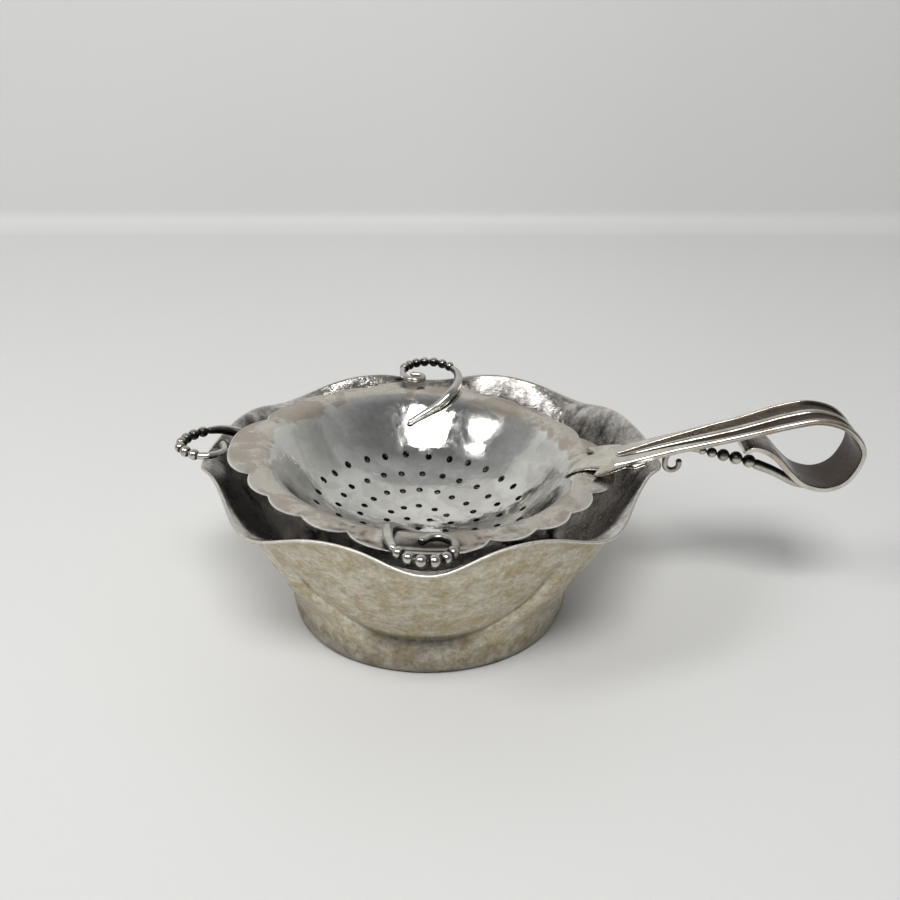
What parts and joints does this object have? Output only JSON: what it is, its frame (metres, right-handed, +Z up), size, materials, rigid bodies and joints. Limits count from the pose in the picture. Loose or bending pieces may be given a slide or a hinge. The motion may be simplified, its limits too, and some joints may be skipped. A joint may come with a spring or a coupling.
{
  "type": "tea strainer",
  "caption": "Silver tea strainer: pierced scalloped bowl with beaded rim tendrils and a looped strap handle, resting in a wavy-rimmed drip bowl.",
  "frame": {"origin": "centre of the drip bowl's flat base, on the surface it stands on", "axes": "+Z up, +X towards the handle, +Y towards the back tendril; the strainer body is at rest in the bowl"},
  "size_m": [0.1522, 0.1064, 0.0485],
  "materials": {
    "bowl_silver": "planished sterling silver, satin with warm tarnish and fine brushing, roughness 0.3 to 0.45",
    "strainer_silver": "planished sterling silver, polished inside the bowl, matte grey with brown oxidation on the flange",
    "handle_silver": "sterling silver strap, bright raised edges and rib, dark oxidised flutes",
    "wire_silver": "polished sterling silver wire",
    "bead_silver": "polished sterling silver balls, dark oxide in the recesses between them"
  },
  "bodies": {
    "bowl": {"drip_bowl": "bowl_silver"},
    "strainer": {"strainer_bowl": "strainer_silver", "back_tendril_stem": "wire_silver", "back_tendril_bead_1": "bead_silver", "back_tendril_bead_2": "bead_silver", "back_tendril_bead_3": "bead_silver", "back_tendril_bead_4": "bead_silver", "back_tendril_bead_5": "bead_silver", "back_tendril_bead_6": "bead_silver", "back_tendril_bead_7": "bead_silver", "back_tendril_scroll": "wire_silver", "left_tendril_stem": "wire_silver", "left_tendril_bead_1": "bead_silver", "left_tendril_bead_2": "bead_silver", "left_tendril_bead_3": "bead_silver", "left_tendril_bead_4": "bead_silver", "left_tendril_bead_5": "bead_silver", "left_tendril_bead_6": "bead_silver", "left_tendril_bead_7": "bead_silver", "left_tendril_scroll": "wire_silver", "front_tendril_stem": "wire_silver", "front_tendril_bead_1": "bead_silver", "front_tendril_bead_2": "bead_silver", "front_tendril_bead_3": "bead_silver", "front_tendril_bead_4": "bead_silver", "front_tendril_bead_5": "bead_silver", "front_tendril_bead_6": "bead_silver", "front_tendril_scroll": "wire_silver", "handle_strap": "handle_silver", "handle_tendril_stem": "wire_silver", "handle_bead_1": "bead_silver", "handle_bead_2": "bead_silver", "handle_bead_3": "bead_silver", "handle_bead_4": "bead_silver", "handle_bead_5": "bead_silver", "handle_hook": "wire_silver"}
  },
  "joints": [
    {"name": "strainer_lift", "type": "slide", "parent": "bowl", "child": "strainer", "axis": [0, 0, 1], "range_m": [0, 0.08]}
  ]
}
